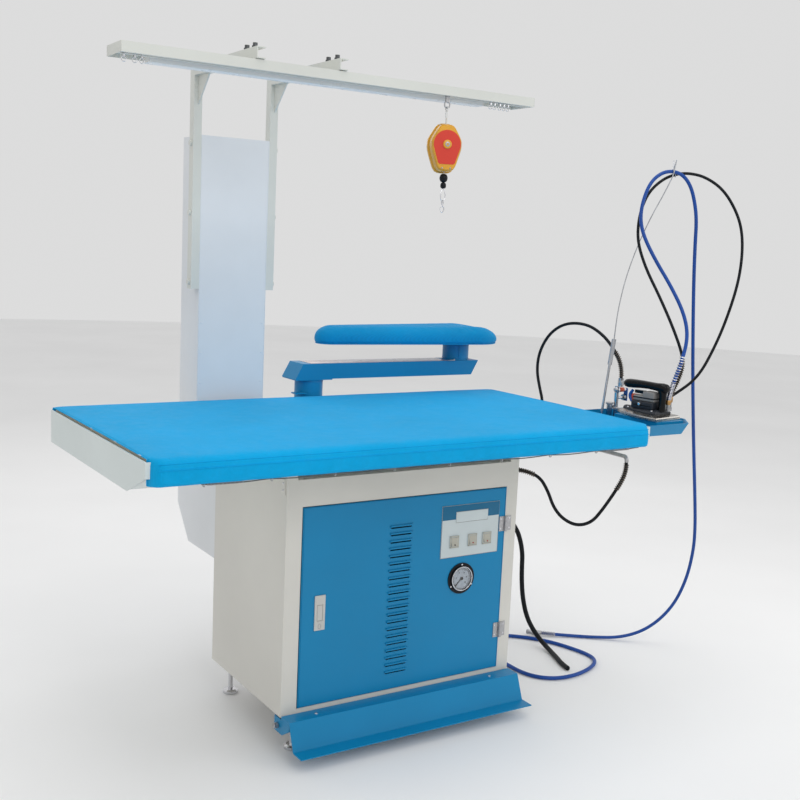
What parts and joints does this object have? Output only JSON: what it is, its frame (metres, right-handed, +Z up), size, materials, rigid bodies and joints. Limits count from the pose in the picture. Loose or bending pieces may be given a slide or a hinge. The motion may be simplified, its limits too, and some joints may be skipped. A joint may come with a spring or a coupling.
{
  "type": "vacuum ironing table",
  "caption": "Padded vacuum ironing table over a steam generator cabinet, with exhaust column, overhead rail, sleeve board on a swing arm, steam iron and hoses.",
  "frame": {"origin": "on the floor, under the middle of the machine's bounding box with the hoses left out", "axes": "+X along the table towards the iron tray, +Y away from the operator towards the exhaust column, +Z up"},
  "size_m": [2.04, 0.968, 1.844],
  "materials": {
    "cabinet_paint": "semi-gloss",
    "blue_paint": "gloss",
    "duct_paint": "semi-gloss",
    "rail_paint": "semi-gloss",
    "cap_paint": "semi-gloss",
    "steel": "satin",
    "chrome": "polished",
    "galvanised": "dull",
    "latch_plastic": "satin",
    "panel_label": "satin",
    "switch_plastic": "satin",
    "black_plastic": "satin",
    "needle_black": "matte",
    "cast_iron": "rough",
    "tank_plastic": "translucent white",
    "foam": "open-cell foam",
    "cover_fabric": "woven",
    "board_fabric": "woven",
    "light_white": "satin",
    "balancer_gold": "gloss",
    "aluminium": "cast",
    "sole_steel": "polished",
    "handle_black": "gloss",
    "lever_blue": "satin",
    "brass": "satin",
    "hose_blue": "satin",
    "hose_black": "satin"
  },
  "bodies": {
    "machine": {"cabinet_shell": "cabinet_paint", "levelling_feet": "chrome", "hinge_leaves_fixed": "steel", "pedal_brackets": "steel", "suction_duct": "galvanised", "blower_housing": "galvanised", "blower_motor": "cast_iron", "boiler_tank": "galvanised", "water_tank": "tank_plastic", "feed_pump": "cast_iron", "exhaust_duct": "duct_paint", "exhaust_column": "duct_paint", "support_posts": "rail_paint", "support_arms": "rail_paint", "overhead_rail": "rail_paint", "light_bar": "light_white", "vacuum_box": "cap_paint", "perforated_plate": "galvanised", "foam_pad": "foam", "table_cover": "cover_fabric", "end_caps": "cap_paint", "swing_arm_pillar": "blue_paint", "iron_tray": "blue_paint", "iron_sole": "sole_steel", "iron_body": "cast_iron", "iron_handle": "handle_black", "steam_manifold": "steel", "steam_pipe": "steel", "steam_hose": "hose_blue", "return_hose": "hose_black", "loop_hose": "hose_black", "feed_hose": "hose_black", "drain_hose": "hose_black", "water_hose": "hose_blue", "hose_connectors": "brass", "hose_support_rod": "chrome"},
    "door": {"door_panel": "blue_paint", "hinge_leaves_door": "steel", "latch_plate": "latch_plastic", "control_panel": "panel_label", "gauge_case": "black_plastic"},
    "latch": {"latch_paddle": "latch_plastic"},
    "rocker_left": {"switch_left": "switch_plastic"},
    "rocker_middle": {"switch_middle": "switch_plastic"},
    "rocker_right": {"switch_right": "switch_plastic"},
    "needle": {"gauge_needle": "needle_black"},
    "pedal": {"foot_pedal": "blue_paint"},
    "damper": {"damper_flap": "steel"},
    "impeller": {"blower_impeller": "aluminium"},
    "arm": {"swing_arm": "blue_paint"},
    "sleeve_board": {"sleeve_board_base": "blue_paint", "sleeve_board_pad": "board_fabric"},
    "left_rings": {"rings_left": "chrome"},
    "right_rings": {"rings_right": "chrome"},
    "trolley": {"balancer_trolley": "steel"},
    "balancer": {"balancer_body": "balancer_gold", "balancer_cable": "steel"},
    "hook": {"balancer_hook": "chrome"},
    "valve_lever": {"valve_handle": "lever_blue"},
    "trigger": {"iron_trigger": "handle_black"}
  },
  "joints": [
    {"name": "door_hinge", "type": "hinge", "parent": "machine", "child": "door", "pos_m": [0.279, -0.277, 0.3935], "axis": [0, 0, 1], "range_deg": [0, 110]},
    {"name": "latch_pull", "type": "hinge", "parent": "door", "child": "latch", "pos_m": [-0.3255, -0.274, 0.356], "axis": [1, 0, 0], "range_deg": [0, 25], "stiffness_Nm_per_rad": 0.02, "springref_deg": -20.05},
    {"name": "rocker_left_tilt", "type": "hinge", "parent": "door", "child": "rocker_left", "pos_m": [0.098, -0.277, 0.523], "axis": [1, 0, 0], "range_deg": [0, 16]},
    {"name": "rocker_middle_tilt", "type": "hinge", "parent": "door", "child": "rocker_middle", "pos_m": [0.161, -0.277, 0.523], "axis": [1, 0, 0], "range_deg": [0, 16]},
    {"name": "rocker_right_tilt", "type": "hinge", "parent": "door", "child": "rocker_right", "pos_m": [0.212, -0.277, 0.523], "axis": [1, 0, 0], "range_deg": [0, 16]},
    {"name": "needle_turn", "type": "hinge", "parent": "door", "child": "needle", "pos_m": [0.13, -0.2777, 0.412], "axis": [0, 1, 0], "range_deg": [0, 270], "stiffness_Nm_per_rad": 0.0005, "springref_deg": -11.46},
    {"name": "pedal_press", "type": "hinge", "parent": "machine", "child": "pedal", "pos_m": [-0.055, -0.258, 0.08], "axis": [1, 0, 0], "range_deg": [0, 8], "stiffness_Nm_per_rad": 10, "springref_deg": -34.38},
    {"name": "damper_turn", "type": "hinge", "parent": "machine", "child": "damper", "pos_m": [-0.27, -0.04, 0.65], "axis": [1, 0, 0], "range_deg": [0, 80]},
    {"name": "impeller_spin", "type": "hinge", "parent": "machine", "child": "impeller", "pos_m": [-0.27, -0.04, 0.45], "axis": [0, 0, 1], "continuous": true},
    {"name": "arm_swivel", "type": "hinge", "parent": "machine", "child": "arm", "pos_m": [-0.045, 0.362, 0.93], "axis": [0, 0, 1], "range_deg": [-100, 30]},
    {"name": "board_swivel", "type": "hinge", "parent": "arm", "child": "sleeve_board", "pos_m": [0.523, 0.362, 0.98], "axis": [0, 0, 1], "range_deg": [-60, 90]},
    {"name": "left_rings_slide", "type": "slide", "parent": "machine", "child": "left_rings", "axis": [1, 0, 0], "range_m": [0, 0.5]},
    {"name": "right_rings_slide", "type": "slide", "parent": "machine", "child": "right_rings", "axis": [1, 0, 0], "range_m": [-0.03, 0.03]},
    {"name": "trolley_slide", "type": "slide", "parent": "machine", "child": "trolley", "axis": [1, 0, 0], "range_m": [-0.25, 0.1]},
    {"name": "balancer_swing", "type": "hinge", "parent": "trolley", "child": "balancer", "pos_m": [0.153, -0.052, 1.7412], "axis": [0, 1, 0], "range_deg": [-20, 20]},
    {"name": "hook_pull", "type": "slide", "parent": "balancer", "child": "hook", "axis": [0, 0, 1], "range_m": [-0.36, 0], "stiffness_N_per_m": 10, "springref_m": 0.3, "deforming": ["balancer_cable"]},
    {"name": "steam_valve_turn", "type": "hinge", "parent": "machine", "child": "valve_lever", "pos_m": [0.8055, -0.186, 0.922], "axis": [1, 0, 0], "range_deg": [0, 85]},
    {"name": "trigger_pull", "type": "hinge", "parent": "machine", "child": "trigger", "pos_m": [0.7556, -0.28253, 0.932], "axis": [-0.9877, -0.1564, 0], "range_deg": [0, 5], "stiffness_Nm_per_rad": 0.1, "springref_deg": -17.19}
  ],
  "couplings": [
    {"joint": "damper_turn", "follows": "pedal_press", "ratio": 10}
  ]
}
